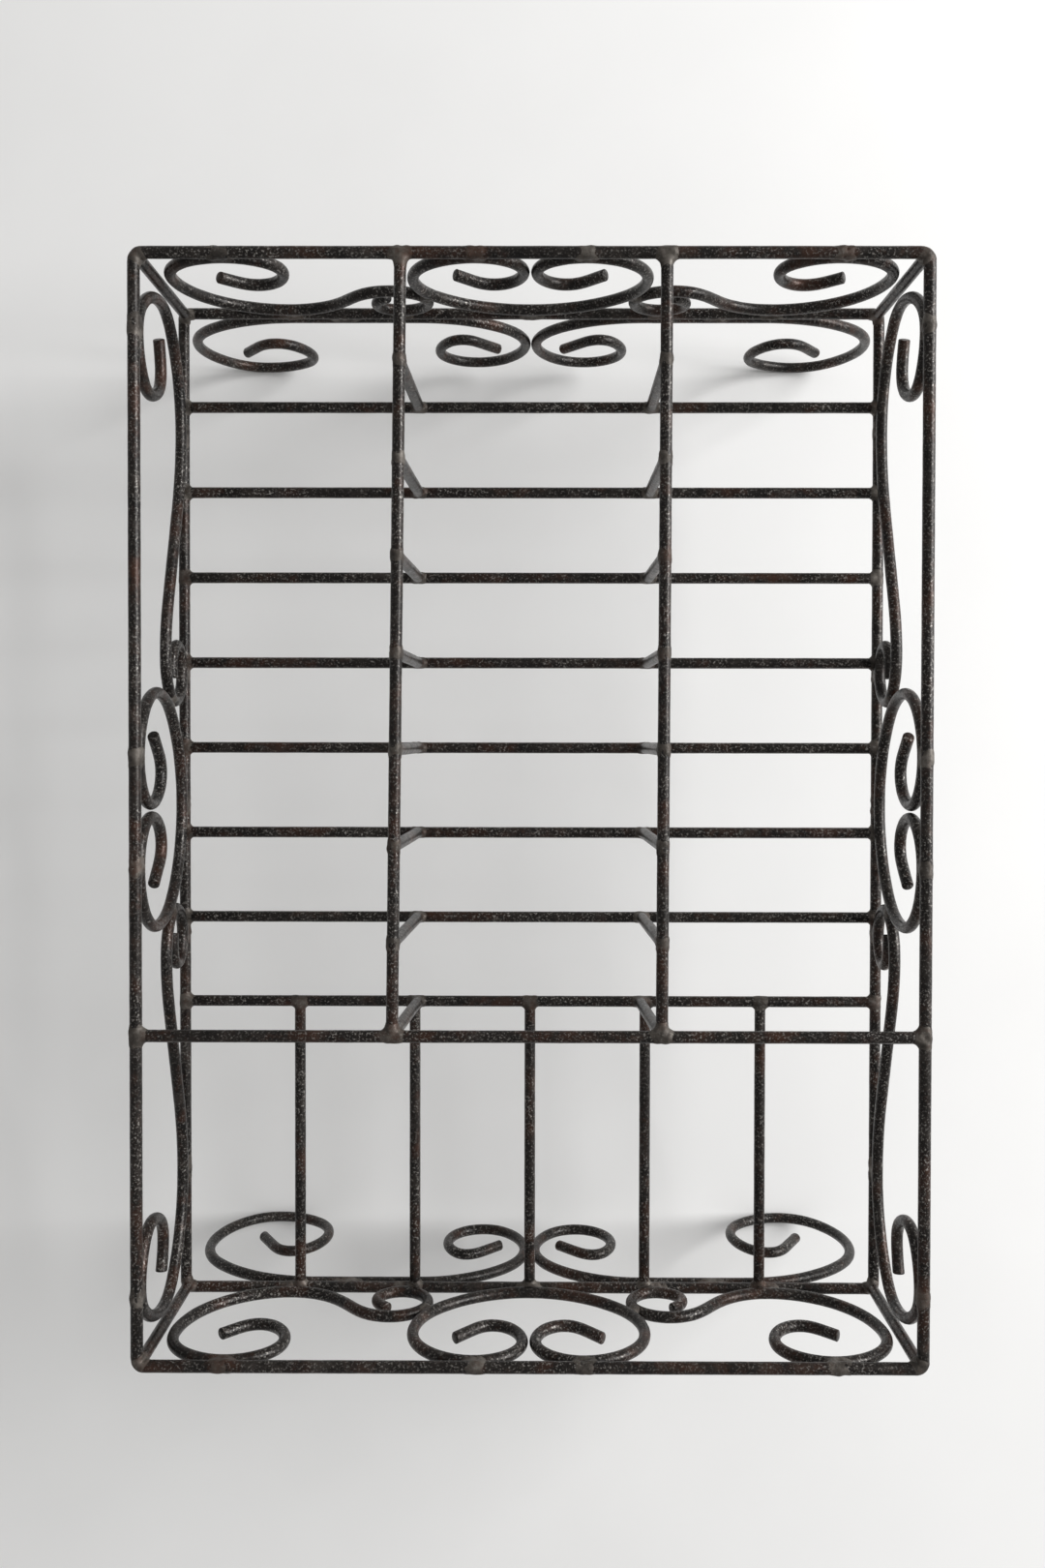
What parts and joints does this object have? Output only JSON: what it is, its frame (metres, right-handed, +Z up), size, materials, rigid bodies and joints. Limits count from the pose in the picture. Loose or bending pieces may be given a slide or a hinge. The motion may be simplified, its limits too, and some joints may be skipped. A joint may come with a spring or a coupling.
{
  "type": "wine rack",
  "caption": "Hand-made iron countertop wine rack: a scrollwork basket with bottle bays and a front tray, on scroll feet.",
  "frame": {"origin": "middle of the rack's footprint on the surface that its feet stand on", "axes": "+Z up, +Y to the rear, along the bottle bays, +X to the right"},
  "size_m": [0.337, 0.456, 0.165],
  "materials": {
    "iron": "satin, waxed black oxide with rubbed highlights",
    "weld": "satin, greyer weld metal"
  },
  "bodies": {
    "root": {"base_rim_front": "iron", "base_rim_left": "iron", "base_rim_rear": "iron", "base_rim_right": "iron", "corner_post_front_left": "iron", "corner_post_front_right": "iron", "corner_post_rear_left": "iron", "corner_post_rear_right": "iron", "corner_post_welds": "weld", "divider_posts_left": "iron", "divider_posts_right": "iron", "divider_rail_left": "iron", "divider_rail_right": "iron", "floor_bar_1": "iron", "floor_bar_2": "iron", "floor_bar_3": "iron", "floor_bar_4": "iron", "floor_bar_5": "iron", "floor_bar_6": "iron", "floor_bar_7": "iron", "floor_bar_8": "iron", "floor_bar_welds": "weld", "foot_scroll_front_left": "iron", "foot_scroll_front_right": "iron", "foot_scroll_rear_left": "iron", "foot_scroll_rear_right": "iron", "foot_scroll_welds": "weld", "front_c_scroll": "iron", "front_panel_welds": "weld", "front_rail": "iron", "front_s_scroll_left": "iron", "front_s_scroll_right": "iron", "left_c_scroll": "iron", "left_panel_welds": "weld", "left_s_scroll_front": "iron", "left_s_scroll_rear": "iron", "post_foot_welds": "weld", "post_head_welds": "weld", "rail_welds": "weld", "rear_c_scroll": "iron", "rear_panel_welds": "weld", "rear_s_scroll_left": "iron", "rear_s_scroll_right": "iron", "right_c_scroll": "iron", "right_panel_welds": "weld", "right_s_scroll_front": "iron", "right_s_scroll_rear": "iron", "top_rim_front": "iron", "top_rim_left": "iron", "top_rim_rear": "iron", "top_rim_right": "iron", "tray_bar_1": "iron", "tray_bar_2": "iron", "tray_bar_3": "iron", "tray_bar_4": "iron", "tray_bar_5": "iron", "tray_bar_welds": "weld"}
  },
  "joints": []
}
